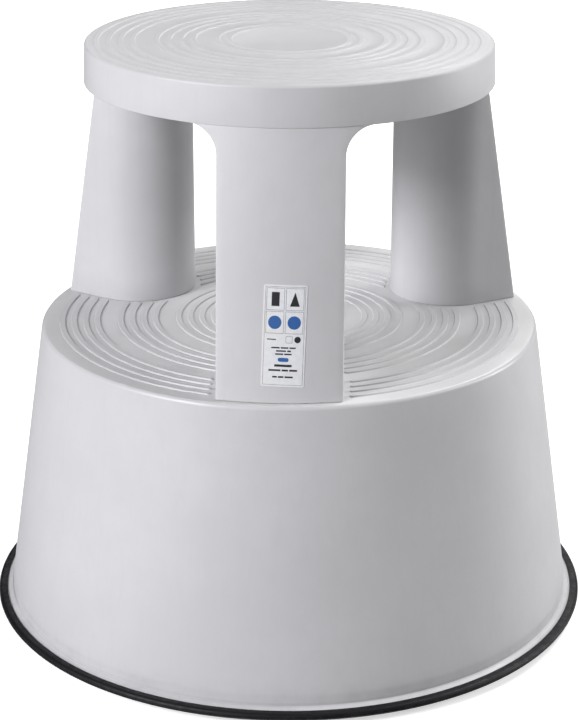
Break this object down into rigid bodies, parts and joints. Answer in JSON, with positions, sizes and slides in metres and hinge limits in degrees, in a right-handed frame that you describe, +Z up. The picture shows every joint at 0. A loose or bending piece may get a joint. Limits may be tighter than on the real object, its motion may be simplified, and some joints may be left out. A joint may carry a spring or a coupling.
{
  "type": "kick step stool",
  "caption": "Round kick step stool: ridged top step on pillars over a wide lower step, tapered skirt with a rubber floor ring, and sprung castors that retract under load.",
  "frame": {"origin": "centre of the stool at floor level, where the castor wheels touch the floor", "axes": "+Z up, through the centre of both steps; the labelled pillar faces -Y"},
  "size_m": [0.4445, 0.4446, 0.4259],
  "materials": {
    "grey_plastic": "satin moulded, fine texture",
    "black_rubber": "matte rubber",
    "label_film": "semi-gloss film",
    "zinc_steel": "zinc plated",
    "spring_steel": "oiled wire",
    "natural_nylon": "natural nylon",
    "wheel_plastic": "moulded",
    "wheel_rubber": "soft tread"
  },
  "bodies": {
    "stool_body": {"upper_moulding": "grey_plastic", "base_moulding": "grey_plastic", "bumper_ring": "black_rubber", "pillar_label": "label_film", "pillar_screws": "zinc_steel", "pillar_washers": "zinc_steel", "left_guide_sleeve": "natural_nylon", "left_spring": "spring_steel", "right_guide_sleeve": "natural_nylon", "right_spring": "spring_steel", "rear_guide_sleeve": "natural_nylon", "rear_spring": "spring_steel"},
    "left_castor_stem": {"left_stem": "zinc_steel", "left_retaining_clip": "spring_steel"},
    "left_castor_fork": {"left_thrust_washer": "natural_nylon", "left_fork": "zinc_steel", "left_axle": "zinc_steel"},
    "left_castor_wheel": {"left_wheel": "wheel_plastic", "left_tyre": "wheel_rubber"},
    "right_castor_stem": {"right_stem": "zinc_steel", "right_retaining_clip": "spring_steel"},
    "right_castor_fork": {"right_thrust_washer": "natural_nylon", "right_fork": "zinc_steel", "right_axle": "zinc_steel"},
    "right_castor_wheel": {"right_wheel": "wheel_plastic", "right_tyre": "wheel_rubber"},
    "rear_castor_stem": {"rear_stem": "zinc_steel", "rear_retaining_clip": "spring_steel"},
    "rear_castor_fork": {"rear_thrust_washer": "natural_nylon", "rear_fork": "zinc_steel", "rear_axle": "zinc_steel"},
    "rear_castor_wheel": {"rear_wheel": "wheel_plastic", "rear_tyre": "wheel_rubber"}
  },
  "joints": [
    {"name": "left_stem_slide", "type": "slide", "parent": "stool_body", "child": "left_castor_stem", "axis": [0, 0, 1], "range_m": [0, 0.007], "stiffness_N_per_m": 4000, "springref_m": -0.008, "deforming": ["left_spring"]},
    {"name": "left_swivel", "type": "hinge", "parent": "left_castor_stem", "child": "left_castor_fork", "pos_m": [-0.13683, -0.079, 0.04], "axis": [0, 0, 1], "continuous": true},
    {"name": "left_wheel_spin", "type": "hinge", "parent": "left_castor_fork", "child": "left_castor_wheel", "pos_m": [-0.12471, -0.072, 0.0175], "axis": [0.5, -0.866, 0], "continuous": true},
    {"name": "right_stem_slide", "type": "slide", "parent": "stool_body", "child": "right_castor_stem", "axis": [0, 0, 1], "range_m": [0, 0.007], "stiffness_N_per_m": 4000, "springref_m": -0.008, "deforming": ["right_spring"]},
    {"name": "right_swivel", "type": "hinge", "parent": "right_castor_stem", "child": "right_castor_fork", "pos_m": [0.13683, -0.079, 0.04], "axis": [0, 0, 1], "continuous": true},
    {"name": "right_wheel_spin", "type": "hinge", "parent": "right_castor_fork", "child": "right_castor_wheel", "pos_m": [0.12471, -0.072, 0.0175], "axis": [0.5, 0.866, 0], "continuous": true},
    {"name": "rear_stem_slide", "type": "slide", "parent": "stool_body", "child": "rear_castor_stem", "axis": [0, 0, 1], "range_m": [0, 0.007], "stiffness_N_per_m": 4000, "springref_m": -0.008, "deforming": ["rear_spring"]},
    {"name": "rear_swivel", "type": "hinge", "parent": "rear_castor_stem", "child": "rear_castor_fork", "pos_m": [0, 0.158, 0.04], "axis": [0, 0, 1], "continuous": true},
    {"name": "rear_wheel_spin", "type": "hinge", "parent": "rear_castor_fork", "child": "rear_castor_wheel", "pos_m": [0, 0.144, 0.0175], "axis": [-1, 0, 0], "continuous": true}
  ]
}
